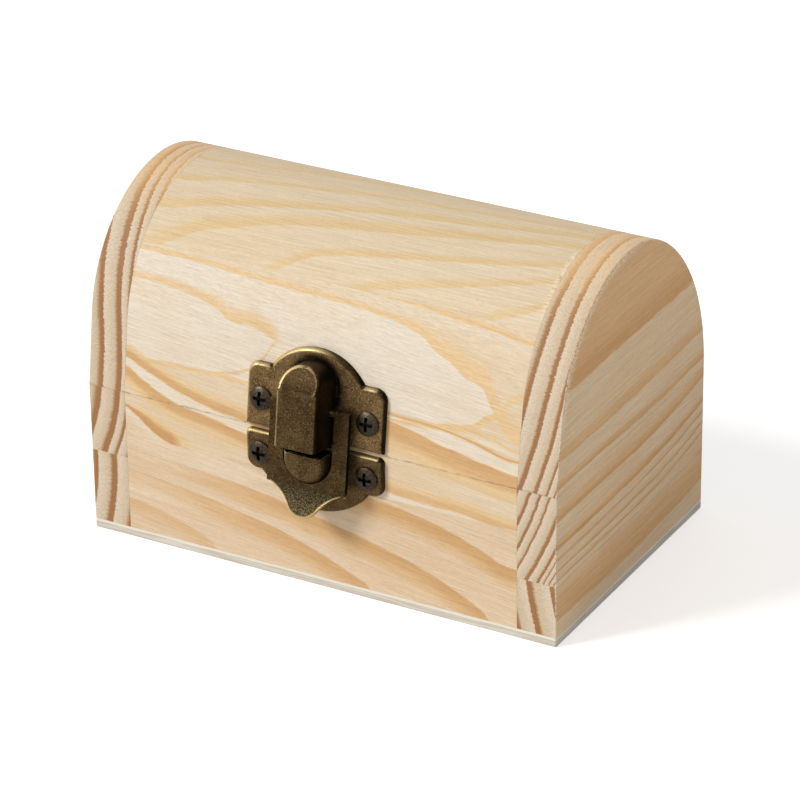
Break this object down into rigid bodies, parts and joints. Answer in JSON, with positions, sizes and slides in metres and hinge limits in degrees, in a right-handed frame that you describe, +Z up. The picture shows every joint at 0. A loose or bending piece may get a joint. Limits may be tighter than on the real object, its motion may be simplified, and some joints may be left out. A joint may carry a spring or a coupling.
{
  "type": "wooden money box",
  "caption": "Small wooden money box: a chest of pale pine boards with an arched hinged lid, closed by a bronze latch whose swinging hasp drops over a knob.",
  "frame": {"origin": "middle of the underside of the base panel", "axes": "+X to the right seen from the latch side, +Y to the back, +Z up"},
  "size_m": [0.13, 0.094, 0.0887],
  "materials": {
    "pine": "raw planed softwood",
    "plywood": "raw sanded plywood",
    "bronze": "antiqued dark, rubbed bright at the edges",
    "screw_steel": "darkened plating"
  },
  "bodies": {
    "base": {"base_panel": "plywood", "front_lower_strip": "pine", "front_upper_strip": "pine", "back_board": "pine", "left_end_lower_strip": "pine", "left_end_upper_strip": "pine", "right_end_lower_strip": "pine", "right_end_upper_strip": "pine", "catch_plate": "bronze", "catch_screws": "screw_steel", "hinge_left_base_leaf": "bronze", "hinge_right_base_leaf": "bronze", "hinge_left_pin": "screw_steel", "hinge_right_pin": "screw_steel", "hinge_base_screws": "screw_steel"},
    "lid": {"lid_front_board": "pine", "lid_back_board": "pine", "lid_top_board": "pine", "left_lid_end": "pine", "right_lid_end": "pine", "latch_plate": "bronze", "latch_plate_screws": "screw_steel", "hinge_left_lid_leaf": "bronze", "hinge_right_lid_leaf": "bronze", "hinge_lid_screws": "screw_steel"},
    "hasp": {"hasp_frame": "bronze"}
  },
  "joints": [
    {"name": "lid_hinge", "type": "hinge", "parent": "base", "child": "lid", "pos_m": [0, 0.0418, 0.0401], "axis": [-1, 0, 0], "range_deg": [0, 160]},
    {"name": "hasp_swing", "type": "hinge", "parent": "lid", "child": "hasp", "pos_m": [0, -0.04203, 0.04926], "axis": [-1, 0, 0], "range_deg": [0, 120]}
  ]
}
